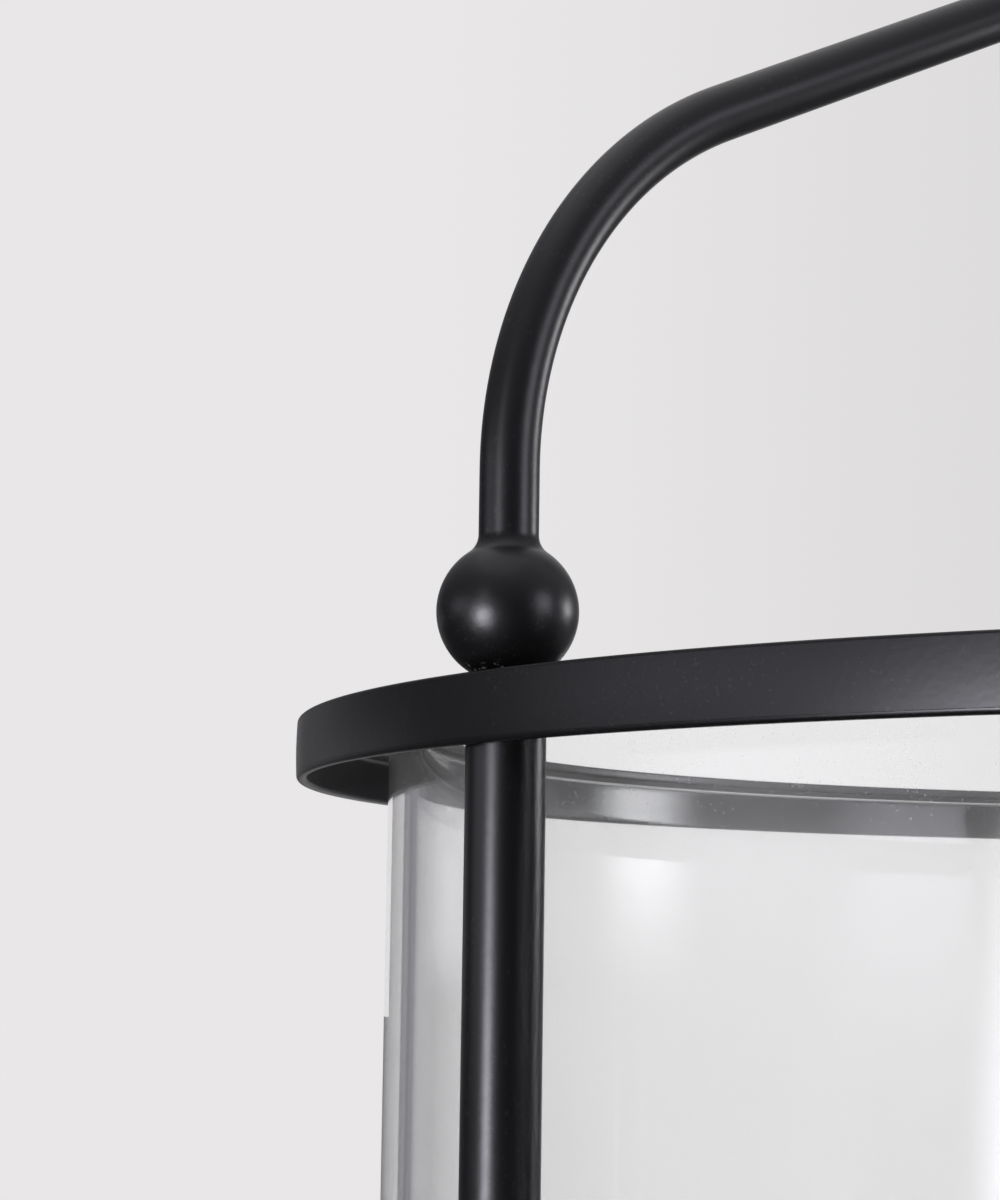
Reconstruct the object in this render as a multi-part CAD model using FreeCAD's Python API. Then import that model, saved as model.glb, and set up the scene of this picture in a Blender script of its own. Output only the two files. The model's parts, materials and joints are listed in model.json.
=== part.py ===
import FreeCAD, Part
import math
import os

# Candle lantern: three posts between a base pan and an upper ring, with a glass cylinder inside them
# and three arms that meet in a crown hub. Millimetres and degrees, +Z up, origin on the floor at the centre.

# Upper ring
ring_diameter = 300.0
band_height = 8.0
sheet_thickness = 1.5
flange_width = 16.5
edge_round = 0.4

# Posts, balls and their studs
post_count = 3
first_post_angle = -90.0
post_diameter = 9.0
post_length = 300.0
post_gap = 0.2
ball_diameter = 16.0
ball_seat_radius = 3.5
neck_fillet = 2.5
stud_diameter = 4.0
stud_clearance = 0.1
stud_end_gap = 0.3
stud_depth_in_post = 10.0
stud_depth_in_arm = 8.0
stud_depth_in_foot = 7.0

# Arms
arm_diameter = 6.8
arm_rise = 7.531
shoulder_radius = 51.0
shoulder_turn = 65.0
crown_radius = 60.0
arm_tail = 2.0

# Crown hub and its screws
hub_arm_circle = 24.0
hub_wall = 4.5
hub_socket_depth = 9.0
hub_web = 5.0
hub_round = 2.5
socket_clearance = 0.1
grub_diameter = 3.0

# Finial eye, nut and carry ring
shank_diameter = 6.0
shank_clearance = 0.1
eye_wire = 5.0
eye_play = 0.35
eye_collar_diameter = 13.0
eye_collar_height = 2.5
eye_sink = 1.0
nut_height = 5.0
nut_width = 10.0
shank_tail = 1.5
carry_ring_wire = 5.0
carry_ring_radius = 28.0
ring_rest_gap = 0.3

# Feet and base pan
pad_thickness = 2.0
foot_flat_radius = 5.0
skirt_gap = 1.7
skirt_height = 8.0

# Glass and its seat
glass_gap = 1.8
glass_wall = 3.9
glass_top_gap = 0.7
gasket_thickness = 1.5
gasket_lap = 1.2
collar_gap = 0.3
collar_wall = 0.8
collar_height = 9.0

# Candle holder and candle
pan_diameter = 140.0
pan_sheet = 1.2
pan_rim_height = 8.0
pan_rim_flare = 4.0
spike_diameter = 5.0
spike_height = 28.0
spike_tip_diameter = 0.8
spike_flange_diameter = 16.0
spike_flange_height = 2.0
spike_shank_gap = 0.2
spike_nut_height = 4.0
spike_nut_width = 8.0
spike_washer_diameter = 18.0
spike_washer_height = 1.2
candle_diameter = 100.0
candle_height = 110.0
candle_round = 2.0
candle_dish_depth = 3.0
candle_lip = 9.0
candle_spike_gap = 0.4
wick_diameter = 2.4
wick_depth = 16.0
wick_length = 27.0
wick_gap = 0.1

# Radii
ring_radius = ring_diameter / 2
post_radius = post_diameter / 2
ball_radius = ball_diameter / 2
arm_radius = arm_diameter / 2
stud_radius = stud_diameter / 2
stud_hole_radius = stud_radius + stud_clearance
post_circle = ring_radius - sheet_thickness - post_gap - post_radius
base_radius = post_circle + ball_radius + skirt_gap + sheet_thickness
glass_radius = post_circle - post_radius - glass_gap
hub_arm_radius = hub_arm_circle / 2
hub_radius = hub_arm_radius + arm_radius + hub_wall
shank_radius = shank_diameter / 2
eye_wire_radius = eye_wire / 2
eye_hole_radius = carry_ring_wire / 2 + eye_play
eye_radius = eye_hole_radius + eye_wire_radius
spike_radius = spike_diameter / 2
spike_hole_radius = spike_radius + spike_shank_gap

# Heights
ball_seat_drop = math.sqrt(ball_radius ** 2 - ball_seat_radius ** 2)
foot_centre = pad_thickness + math.sqrt(ball_radius ** 2 - foot_flat_radius ** 2)
base_bottom = foot_centre + ball_seat_drop
base_top = base_bottom + sheet_thickness
ring_bottom = base_top + post_length
ring_top = ring_bottom + sheet_thickness
ball_centre = ring_top + ball_seat_drop
neck_rise = math.sqrt((ball_radius + neck_fillet) ** 2 - (arm_radius + neck_fillet) ** 2)
neck_top = ball_centre + neck_rise
shoulder_start = neck_top + arm_rise
turn = math.radians(shoulder_turn)
shoulder_end_radius = post_circle - shoulder_radius * (1 - math.cos(turn))
shoulder_end = shoulder_start + shoulder_radius * math.sin(turn)
crown_start_radius = hub_arm_radius + crown_radius * (1 - math.cos(turn))
crown_start = shoulder_end + (shoulder_end_radius - crown_start_radius) / math.tan(turn)
crown_end = crown_start + crown_radius * math.sin(turn)
hub_bottom = crown_end + arm_tail
grub_height = hub_bottom + hub_socket_depth / 2
socket_top = hub_bottom + hub_socket_depth
hub_top = socket_top + hub_web
eye_height = hub_top + eye_collar_height - eye_sink + eye_radius + eye_wire_radius
glass_bottom = base_top + gasket_thickness
glass_top = ring_bottom - glass_top_gap
pan_floor = base_top + pan_sheet
candle_top = pan_floor + candle_height
spike_flange_top = pan_floor + spike_flange_height

up = FreeCAD.Vector(0, 0, 1)
centre = FreeCAD.Vector(0, 0, 0)


# Helpers: r is the distance from the lantern's axis, and every profile lies in the XZ plane
def at(r, z):
    return FreeCAD.Vector(r, 0, z)


def rod(radius, bottom, top, r=0.0):
    return Part.makeCylinder(radius, top - bottom, at(r, bottom), up)


def tube(outer, inner, bottom, top):
    return rod(outer, bottom, top).cut(rod(inner, bottom, top))


def line(start, end):
    return Part.LineSegment(start, end).toShape()


def arc(start, middle, end):
    return Part.Arc(start, middle, end).toShape()


def spun(edges):
    face = Part.Face(Part.Wire(edges))
    return face.revolve(centre, up, 360)


def outline(points):
    return [line(a, b) for a, b in zip(points, points[1:] + points[:1])]


def rounded(shape, radius, wanted):
    edges = [edge for edge in shape.Edges if wanted(edge)]
    return shape.makeFillet(radius, edges)


def is_circle_at(edge, radius, height):
    round_edge = not edge.Degenerated and isinstance(edge.Curve, Part.Circle)
    return round_edge and abs(edge.Curve.Radius - radius) < 1e-6 and abs(edge.Curve.Center.z - height) < 1e-6


def hexagon_nut(width, hole_radius, bottom, top):
    corner = width / math.sqrt(3)
    corners = [FreeCAD.Vector(corner * math.cos(k * math.pi / 3), corner * math.sin(k * math.pi / 3), bottom)
               for k in range(7)]
    prism = Part.Face(Part.makePolygon(corners)).extrude(up * (top - bottom))
    return prism.cut(rod(hole_radius, bottom, top))


def at_post(shape, number):
    turned = shape.copy()
    turned.rotate(centre, up, first_post_angle + number * 360.0 / post_count)
    return turned


def at_each_post(shape):
    return [at_post(shape, number) for number in range(post_count)]


# Upper ring: an L section, with the posts and balls clamped to its flange
def upper_ring():
    inner = ring_radius - sheet_thickness
    opening = ring_radius - flange_width
    band_bottom = ring_top - band_height
    section = [at(opening, ring_bottom), at(inner, ring_bottom), at(inner, band_bottom),
               at(ring_radius, band_bottom), at(ring_radius, ring_top), at(opening, ring_top)]
    ring = spun(outline(section))
    ring = rounded(ring, edge_round, lambda edge: is_circle_at(edge, ring_radius, ring_top)
                   or is_circle_at(edge, ring_radius, band_bottom) or is_circle_at(edge, inner, band_bottom))
    hole = rod(stud_hole_radius, ring_bottom, ring_top, post_circle)
    return ring.cut(at_each_post(hole))


def post():
    body = rod(post_radius, base_top, ring_bottom, post_circle)
    depth = stud_depth_in_post + stud_end_gap
    lower_hole = rod(stud_hole_radius, base_top, base_top + depth, post_circle)
    upper_hole = rod(stud_hole_radius, ring_bottom - depth, ring_bottom, post_circle)
    return body.cut([lower_hole, upper_hole])


# Ball on the ring: flat below, and above it a concave fillet that runs into the arm's diameter
def post_ball():
    seat = at(ball_seat_radius, -ball_seat_drop)
    blend_r = arm_radius + neck_fillet
    joint = at(blend_r, neck_rise) * (ball_radius / (ball_radius + neck_fillet))
    towards_ball = (at(0, 0) - at(blend_r, neck_rise)).normalize()
    fillet_middle = at(blend_r, neck_rise) + (towards_ball + at(-1, 0)).normalize() * neck_fillet
    edges = [line(at(0, -ball_seat_drop), seat), arc(seat, at(ball_radius, 0), joint),
             arc(joint, fillet_middle, at(arm_radius, neck_rise)),
             line(at(arm_radius, neck_rise), at(0, neck_rise)),
             line(at(0, neck_rise), at(0, -ball_seat_drop))]
    ball = spun(edges).cut(rod(stud_hole_radius, -ball_seat_drop, neck_rise))
    ball.translate(at(post_circle, ball_centre))
    return ball


# Arm: straight out of the ball, a bend inwards, a straight run, and a bend back up into the hub
def arm():
    start = at(post_circle, neck_top)
    end = at(hub_arm_radius, socket_top - stud_end_gap)
    bend = at(post_circle, shoulder_start)
    slope = at(shoulder_end_radius, shoulder_end)
    back = at(crown_start_radius, crown_start)
    tail = at(hub_arm_radius, crown_end)
    half = turn / 2
    bend_middle = at(post_circle - shoulder_radius * (1 - math.cos(half)),
                     shoulder_start + shoulder_radius * math.sin(half))
    back_middle = at(hub_arm_radius + crown_radius * (1 - math.cos(half)),
                     crown_end - crown_radius * math.sin(half))
    path = Part.Wire([line(start, bend), arc(bend, bend_middle, slope), line(slope, back),
                      arc(back, back_middle, tail), line(tail, end)])
    section = Part.Wire(Part.makeCircle(arm_radius, start, up))
    body = path.makePipeShell([section], True, False)
    hole = rod(stud_hole_radius, neck_top, neck_top + stud_depth_in_arm + stud_end_gap, post_circle)
    return body.cut(hole)


def ring_stud():
    return rod(stud_radius, ring_bottom - stud_depth_in_post, neck_top + stud_depth_in_arm, post_circle)


# Crown hub: blind sockets for the arms, a hole for the eye's shank, and a screw hole into each socket
def radial_rod(radius, inner, outer):
    return Part.makeCylinder(radius, outer - inner, at(inner, grub_height), FreeCAD.Vector(1, 0, 0))


def crown_hub():
    hub = rod(hub_radius, hub_bottom, hub_top)
    hub = rounded(hub, hub_round, lambda edge: is_circle_at(edge, hub_radius, hub_top)
                  or is_circle_at(edge, hub_radius, hub_bottom))
    socket = rod(arm_radius + socket_clearance, hub_bottom, socket_top, hub_arm_radius)
    screw_hole = radial_rod(grub_diameter / 2 + socket_clearance, hub_arm_radius, hub_radius)
    shank_hole = rod(shank_radius + shank_clearance, hub_bottom, hub_top)
    return hub.cut(at_each_post(socket) + at_each_post(screw_hole) + [shank_hole])


def grub_screw():
    tip = hub_arm_radius + arm_radius + socket_clearance
    return radial_rod(grub_diameter / 2, tip, hub_radius)


# Finial eye: a wire eye on a collar, with a shank through the hub
def finial_eye():
    eye = Part.makeTorus(eye_radius, eye_wire_radius, at(0, eye_height), FreeCAD.Vector(1, 0, 0))
    collar = rod(eye_collar_diameter / 2, hub_top, hub_top + eye_collar_height)
    shank = rod(shank_radius, hub_bottom - nut_height - shank_tail, hub_top)
    return eye.fuse([collar, shank]).removeSplitter()


def finial_nut():
    return hexagon_nut(nut_width, shank_radius + shank_clearance, hub_bottom - nut_height, hub_bottom)


# Carry ring: swings about X in the eye, and rests drooped towards +Y on the hub's top edge
def ring_clearance(droop):
    steps = 720
    gaps = []
    for step in range(steps):
        angle = 2 * math.pi * step / steps
        along = carry_ring_radius * (1 - math.cos(angle))
        across = carry_ring_radius * math.sin(angle)
        out = math.hypot(across, along * math.cos(droop))
        height = eye_height - along * math.sin(droop) - hub_top
        past_side = max(out - hub_radius + hub_round, 0)
        past_top = max(height + hub_round, 0)
        gaps.append(math.hypot(past_side, past_top) - hub_round)
    return min(gaps) - carry_ring_wire / 2


def rest_droop():
    level, steep = 0.0, math.pi / 2
    for halving in range(40):
        middle = (level + steep) / 2
        clear = ring_clearance(middle) > ring_rest_gap
        level, steep = (middle, steep) if clear else (level, middle)
    return level


def carry_ring():
    droop = rest_droop()
    out = carry_ring_radius * math.cos(droop)
    down = carry_ring_radius * math.sin(droop)
    middle = FreeCAD.Vector(0, out, eye_height - down)
    normal = FreeCAD.Vector(0, math.sin(droop), math.cos(droop))
    return Part.makeTorus(carry_ring_radius, carry_ring_wire / 2, middle, normal)


# Feet: balls with a flat for the pad below and a flat for the base pan above
def foot_ball():
    flat = at(foot_flat_radius, pad_thickness)
    seat = at(ball_seat_radius, base_bottom)
    edges = [line(at(0, pad_thickness), flat), arc(flat, at(ball_radius, foot_centre), seat),
             line(seat, at(0, base_bottom)), line(at(0, base_bottom), at(0, pad_thickness))]
    ball = spun(edges)
    ball.translate(at(post_circle, 0))
    hole = rod(stud_hole_radius, base_bottom - stud_depth_in_foot - stud_end_gap, base_bottom, post_circle)
    return ball.cut(hole)


def foot_pad():
    return rod(foot_flat_radius, 0, pad_thickness, post_circle)


def foot_stud():
    return rod(stud_radius, base_bottom - stud_depth_in_foot, base_top + stud_depth_in_post, post_circle)


def base_pan():
    inner = base_radius - sheet_thickness
    skirt_bottom = base_top - skirt_height
    section = [at(0, base_bottom), at(inner, base_bottom), at(inner, skirt_bottom),
               at(base_radius, skirt_bottom), at(base_radius, base_top), at(0, base_top)]
    pan = spun(outline(section))
    pan = rounded(pan, edge_round, lambda edge: is_circle_at(edge, base_radius, base_top)
                  or is_circle_at(edge, base_radius, skirt_bottom) or is_circle_at(edge, inner, skirt_bottom))
    stud_hole = rod(stud_hole_radius, base_bottom, base_top, post_circle)
    return pan.cut(at_each_post(stud_hole) + [rod(spike_hole_radius, base_bottom, base_top)])


# Glass cylinder on a soft gasket, with a thin collar round its foot
def glass_chimney():
    return tube(glass_radius, glass_radius - glass_wall, glass_bottom, glass_top)


def glass_gasket():
    return tube(glass_radius, glass_radius - glass_wall - gasket_lap, base_top, glass_bottom)


def glass_collar():
    inner = glass_radius + collar_gap
    return tube(inner + collar_wall, inner, base_top, base_top + collar_height)


# Candle holder: a drip pan, and a spike that goes through pan and base to a nut
def candle_pan():
    rim = pan_diameter / 2
    foot = rim - pan_rim_flare
    rim_top = base_top + pan_rim_height
    section = [at(0, base_top), at(foot, base_top), at(rim, rim_top),
               at(rim - pan_sheet, rim_top), at(foot - pan_sheet / 2, pan_floor), at(0, pan_floor)]
    return spun(outline(section)).cut(rod(spike_hole_radius, base_top, pan_floor))


def candle_spike():
    point = Part.makeCone(spike_radius, spike_tip_diameter / 2, spike_height, at(0, spike_flange_top), up)
    flange = rod(spike_flange_diameter / 2, pan_floor, spike_flange_top)
    shank_bottom = base_bottom - spike_washer_height - spike_nut_height - shank_tail
    shank = rod(spike_radius, shank_bottom, pan_floor)
    return point.fuse([flange, shank]).removeSplitter()


def spike_washer():
    return tube(spike_washer_diameter / 2, spike_hole_radius, base_bottom - spike_washer_height, base_bottom)


def spike_nut():
    top = base_bottom - spike_washer_height
    return hexagon_nut(spike_nut_width, spike_radius + shank_clearance, top - spike_nut_height, top)


# Candle: a shallow dish burnt into its top, and a hole below that clears the spike and its flange
def candle():
    radius = candle_diameter / 2
    lip = radius - candle_lip
    dish = at(0, candle_top - candle_dish_depth)
    dish_radius = (lip ** 2 + candle_dish_depth ** 2) / (2 * candle_dish_depth)
    dish_middle = dish + at(lip / 2, dish_radius - math.sqrt(dish_radius ** 2 - lip ** 2 / 4))
    foot = at(0, pan_floor)
    edge = at(radius, candle_top)
    edges = [line(foot, at(radius, pan_floor)), line(at(radius, pan_floor), edge),
             line(edge, at(lip, candle_top)), arc(at(lip, candle_top), dish_middle, dish), line(dish, foot)]
    body = rounded(spun(edges), candle_round, lambda edge: is_circle_at(edge, radius, candle_top))
    flange_hole_radius = spike_flange_diameter / 2 + candle_spike_gap
    flange_hole = rod(flange_hole_radius, pan_floor, spike_flange_top + candle_spike_gap)
    spike_hole = Part.makeCone(spike_radius + candle_spike_gap, spike_tip_diameter / 2 + candle_spike_gap,
                               spike_height + candle_spike_gap, at(0, spike_flange_top), up)
    wick_hole = rod(wick_diameter / 2 + wick_gap, dish.z - wick_depth, candle_top)
    return body.cut([flange_hole, spike_hole, wick_hole])


def wick():
    bottom = candle_top - candle_dish_depth - wick_depth
    return rod(wick_diameter / 2, bottom, bottom + wick_length)


def main():
    os.makedirs("parts", exist_ok=True)
    single = [upper_ring, crown_hub, finial_eye, finial_nut, carry_ring, base_pan, glass_chimney,
              glass_gasket, glass_collar, candle_pan, candle_spike, spike_washer, spike_nut, candle, wick]
    nodes = {make.__name__: make() for make in single}
    for make in (post, post_ball, arm, foot_ball):
        for number, shape in enumerate(at_each_post(make()), start=1):
            nodes[f"{make.__name__}_{number}"] = shape
    for make, name in ((ring_stud, "ring_studs"), (grub_screw, "hub_grub_screws"),
                       (foot_stud, "foot_studs"), (foot_pad, "foot_pads")):
        nodes[name] = Part.makeCompound(at_each_post(make()))
    for name, shape in nodes.items():
        shape.exportStep(f"parts/{name}.step")
        print(name, "solids", len(shape.Solids), "valid", shape.isValid(), "volume", round(shape.Volume, 1))
    print("ring top", round(ring_top, 3), "post circle", round(post_circle, 3), "base radius", base_radius)
    print("base top", round(base_top, 3), "glass", round(glass_radius, 3), round(glass_top, 3))
    print("hub", round(hub_bottom, 3), round(hub_top, 3), hub_radius, "eye", round(eye_height, 3))
    print("carry ring droop in degrees", round(math.degrees(rest_droop()), 3))


main()
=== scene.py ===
import bpy
import json
import math
import numpy as np
from mathutils import Matrix, Vector

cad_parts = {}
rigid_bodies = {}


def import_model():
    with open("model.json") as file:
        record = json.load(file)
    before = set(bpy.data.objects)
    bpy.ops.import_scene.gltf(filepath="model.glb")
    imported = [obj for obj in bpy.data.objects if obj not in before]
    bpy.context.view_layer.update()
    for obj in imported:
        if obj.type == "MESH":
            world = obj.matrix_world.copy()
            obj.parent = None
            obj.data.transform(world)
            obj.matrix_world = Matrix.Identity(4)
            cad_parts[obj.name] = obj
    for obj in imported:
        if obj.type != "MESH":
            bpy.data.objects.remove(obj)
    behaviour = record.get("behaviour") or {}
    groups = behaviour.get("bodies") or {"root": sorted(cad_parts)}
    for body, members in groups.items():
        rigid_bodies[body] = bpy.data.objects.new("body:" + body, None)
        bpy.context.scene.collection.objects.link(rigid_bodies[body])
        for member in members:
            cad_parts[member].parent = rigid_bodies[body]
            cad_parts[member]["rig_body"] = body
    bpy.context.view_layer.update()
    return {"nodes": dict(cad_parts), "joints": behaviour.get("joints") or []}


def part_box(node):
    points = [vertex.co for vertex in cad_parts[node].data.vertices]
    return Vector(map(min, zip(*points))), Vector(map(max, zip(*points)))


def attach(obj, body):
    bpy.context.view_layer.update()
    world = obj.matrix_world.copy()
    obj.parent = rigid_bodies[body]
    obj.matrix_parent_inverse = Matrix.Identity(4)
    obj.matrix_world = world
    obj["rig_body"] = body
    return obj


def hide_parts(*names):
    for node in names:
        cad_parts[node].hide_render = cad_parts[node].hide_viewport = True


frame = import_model()
nodes = frame["nodes"]
print("frame loaded:", len(nodes), "nodes")

scene = bpy.context.scene
scene.view_settings.view_transform = "Standard"


# Mesh helpers


# Outline with rounded corners: a corner is cut back along both sides by radius / tan(half its angle), and an
# arc between the cuts, turned from the first normal to the second, takes its place. A point just outside
# each cut keeps the flats flat. An open outline keeps its two ends.
def roundedOutline(corners, radii, closed=True, steps=6, hold=1.25):
    corners = np.asarray(corners, float)
    count = len(corners)
    share = np.linspace(0, 1, steps + 1)[:, None]
    pieces = []
    for k in range(count):
        here = corners[k]
        if radii[k] == 0 or (not closed and k in (0, count - 1)):
            pieces.append(here[None])
            continue
        back = corners[k - 1] - here
        ahead = corners[(k + 1) % count] - here
        back /= np.linalg.norm(back)
        ahead /= np.linalg.norm(ahead)
        half = math.acos(np.clip(back @ ahead, -1, 1)) / 2
        cut = radii[k] / math.tan(half)
        middle = here + (back + ahead) / np.linalg.norm(back + ahead) * radii[k] / math.sin(half)
        first = (here + back * cut - middle) / radii[k]
        last = (here + ahead * cut - middle) / radii[k]
        sweep = math.pi - 2 * half
        arc = (np.sin((1 - share) * sweep) * first + np.sin(share * sweep) * last) / math.sin(sweep)
        pieces += [(here + back * cut * hold)[None], middle + radii[k] * arc, (here + ahead * cut * hold)[None]]
    return np.concatenate(pieces)


# Surface of revolution: outline point (r, z) at angle a goes to (x + r cos a, y + r sin a, z).
def spun(outline, sides, centre=(0.0, 0.0)):
    turn = np.linspace(0, 2 * np.pi, sides, endpoint=False)
    r = np.asarray(outline)[:, :1]
    z = np.asarray(outline)[:, 1:] + np.zeros(sides)
    return np.stack([centre[0] + r * np.cos(turn), centre[1] + r * np.sin(turn), z], axis=-1)


# Round profile carried along a path: point = path + radius (cos a side + sin a over), with side and over
# square to the path's direction.
def carried(path, side, radius, sides):
    ahead = np.gradient(path, axis=0)
    ahead /= np.linalg.norm(ahead, axis=1, keepdims=True)
    side = np.broadcast_to(side, path.shape)
    over = np.cross(ahead, side)
    turn = np.linspace(0, 2 * np.pi, sides, endpoint=False)[None, :, None]
    return path[:, None] + radius * (np.cos(turn) * side[:, None] + np.sin(turn) * over[:, None])


# Skin over a grid of points: columns close on themselves, and rows either close too or end in two poles.
def skin(grid, rowsClosed):
    rows, columns = grid.shape[:2]
    index = np.arange(rows * columns).reshape(rows, columns)
    beside = np.roll(index, -1, axis=1)
    quads = np.stack([index, beside, np.roll(beside, -1, axis=0), np.roll(index, -1, axis=0)], axis=-1)
    points = grid.reshape(-1, 3)
    fans = np.zeros((0, 3), int)
    if not rowsClosed:
        quads = quads[:-1]
        first, last = rows * columns, rows * columns + 1
        points = np.concatenate([points, [grid[0].mean(axis=0), grid[-1].mean(axis=0)]])
        start = np.stack([np.full(columns, first), beside[0], index[0]], axis=-1)
        end = np.stack([np.full(columns, last), index[-1], beside[-1]], axis=-1)
        fans = np.concatenate([start, end])
    quads = quads.reshape(-1, 4)
    corners = points[np.concatenate([quads[:, :3], quads[:, [0, 2, 3]], fans])]
    volume = np.einsum("ij,ij->i", corners[:, 0], np.cross(corners[:, 1], corners[:, 2])).sum()
    if volume < 0:  # turned inside out, so every face is reversed
        quads, fans = quads[:, ::-1], fans[:, ::-1]
    return points, quads, fans


# Makes one piece from its skins, puts it on its body and in place of its CAD node.
def addPiece(node, skins, finish, smoothAngle=35):
    starts = np.cumsum([0] + [len(part[0]) for part in skins])
    points = np.concatenate([part[0] for part in skins])
    quads = np.concatenate([part[1] + start for part, start in zip(skins, starts)])
    fans = np.concatenate([part[2] + start for part, start in zip(skins, starts)])
    mesh = bpy.data.meshes.new(node + "_skin")
    mesh.vertices.add(len(points))
    mesh.vertices.foreach_set("co", points.astype(np.float32).ravel())
    mesh.loops.add(quads.size + fans.size)
    mesh.loops.foreach_set("vertex_index", np.concatenate([quads.ravel(), fans.ravel()]).astype(np.int32))
    mesh.polygons.add(len(quads) + len(fans))
    loopStarts = np.concatenate([np.arange(len(quads)) * 4, quads.size + np.arange(len(fans)) * 3])
    mesh.polygons.foreach_set("loop_start", loopStarts.astype(np.int32))
    mesh.update(calc_edges=True)
    mesh.validate()
    mesh.shade_smooth()
    mesh.set_sharp_from_angle(angle=math.radians(smoothAngle))
    piece = bpy.data.objects.new(node + "_skin", mesh)
    scene.collection.objects.link(piece)
    mesh.materials.append(finish)
    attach(piece, nodes[node]["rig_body"])
    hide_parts(node)


# Shader helpers


# One value in a node tree; sums, products and comparisons of values add their Math nodes.
class Value:
    def __init__(self, board, socket):
        self.board = board
        self.socket = socket

    def maths(self, operation, first, second):
        return self.board.node("ShaderNodeMath", {"operation": operation}, {0: first, 1: second})

    def __add__(self, other):
        return self.maths("ADD", self, other)

    def __radd__(self, other):
        return self.maths("ADD", other, self)

    def __sub__(self, other):
        return self.maths("SUBTRACT", self, other)

    def __rsub__(self, other):
        return self.maths("SUBTRACT", other, self)

    def __mul__(self, other):
        return self.maths("MULTIPLY", self, other)

    def __rmul__(self, other):
        return self.maths("MULTIPLY", other, self)

    def __gt__(self, other):
        return self.maths("GREATER_THAN", self, other)

    def __lt__(self, other):
        return self.maths("LESS_THAN", self, other)

    def least(self, other):
        return self.maths("MINIMUM", self, other)


# A node tree to draw a finish on.
class Board:
    def __init__(self, tree):
        self.tree = tree
        tree.nodes.clear()

    def node(self, kind, settings=None, values=None, output=0):
        made = self.tree.nodes.new(kind)
        for name, setting in (settings or {}).items():
            setattr(made, name, setting)
        for name, value in (values or {}).items():
            if isinstance(value, Value):
                self.tree.links.new(value.socket, made.inputs[name])
            else:
                made.inputs[name].default_value = value
        return Value(self, made.outputs[output] if made.outputs else None)

    def place(self):
        return self.node("ShaderNodeTexCoord", output="Object")

    def axis(self, vector, letter):
        return self.node("ShaderNodeSeparateXYZ", values={0: vector}, output=letter)

    def length(self, vector):
        return self.node("ShaderNodeVectorMath", {"operation": "LENGTH"}, {0: vector}, output="Value")

    # How far a place lies along a direction
    def along(self, vector, direction):
        return self.node("ShaderNodeVectorMath", {"operation": "DOT_PRODUCT"}, {0: vector, 1: tuple(direction)},
                         output="Value")

    def noise(self, place, scale, detail=2.0, roughness=0.5):
        return self.node("ShaderNodeTexNoise", values={
            "Vector": place, "Scale": scale, "Detail": detail, "Roughness": roughness})

    def stretched(self, place, scale):
        return self.node("ShaderNodeMapping", values={"Vector": place, "Scale": scale})

    # Smooth ramp from 0 at start to 1 at end, held outside
    def rise(self, value, start, end):
        return self.node("ShaderNodeMapRange", {"interpolation_type": "SMOOTHSTEP"}, {
            "Value": value, "From Min": start, "From Max": end})

    def blend(self, share, first, second):
        return self.node("ShaderNodeMix", {"data_type": "RGBA"}, {0: share, 6: first, 7: second}, output=2)

    def bump(self, height, strength, distance, under=None):
        values = {"Height": height, "Strength": strength, "Distance": distance}
        if under is not None:
            values["Normal"] = under
        return self.node("ShaderNodeBump", values=values)

    def principled(self, values):
        return self.node("ShaderNodeBsdfPrincipled", values=values)

    def mixed(self, share, first, second):
        return self.node("ShaderNodeMixShader", values={0: share, 1: first, 2: second})

    def glow(self, shade, strength=1.0):
        return self.node("ShaderNodeEmission", values={"Color": shade, "Strength": strength})

    # What the light path says of the ray, such as Is Glossy Ray or Diffuse Depth
    def path(self, output):
        return self.node("ShaderNodeLightPath", output=output)


def newFinish(name):
    material = bpy.data.materials.new(name)
    material.use_nodes = True
    return material, Board(material.node_tree)


def closeFinish(board, shader):
    board.node("ShaderNodeOutputMaterial", values={"Surface": shader})


# Finishes


# Satin powder coat: near-black with a cool tint, fine orange peel, soft clouds in the gloss, a little dust on top,
# and light grey flecks just above the seat that are painted glints off weld spatter
coatLook = {
    "dark": (0.0027, 0.0027, 0.0031, 1), "light": (0.0049, 0.0049, 0.0056, 1), "dust": (0.050, 0.049, 0.050, 1),
    # The light grey fleck colour and its fleck settings paint glints off weld spatter at the seat
    "spatterGlint": (0.24, 0.24, 0.25, 1), "sheen": (0.95, 0.935, 1.0, 1), "specular": 0.5,
    "roughLow": 0.31, "roughHigh": 0.39, "roughPeel": 0.05, "roughDust": 0.15, "cloudScale": 38.0,
    "peelScale": 1250.0, "peelDepth": 0.000028, "grainScale": 5200.0, "grainDepth": 0.000003,
    "speckScale": 2600.0, "speckLevel": 0.735, "speckPatchScale": 90.0, "speckShare": 0.25,
    "dustScale": 260.0, "dustShare": 0.35, "dustMost": 0.6,
    "spatterGlintScale": 2100.0, "spatterGlintLevel": 0.67, "spatterGlintRise": (0.0001, 0.0003), "spatterGlintFall": (0.0014, 0.0006),
}


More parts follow.
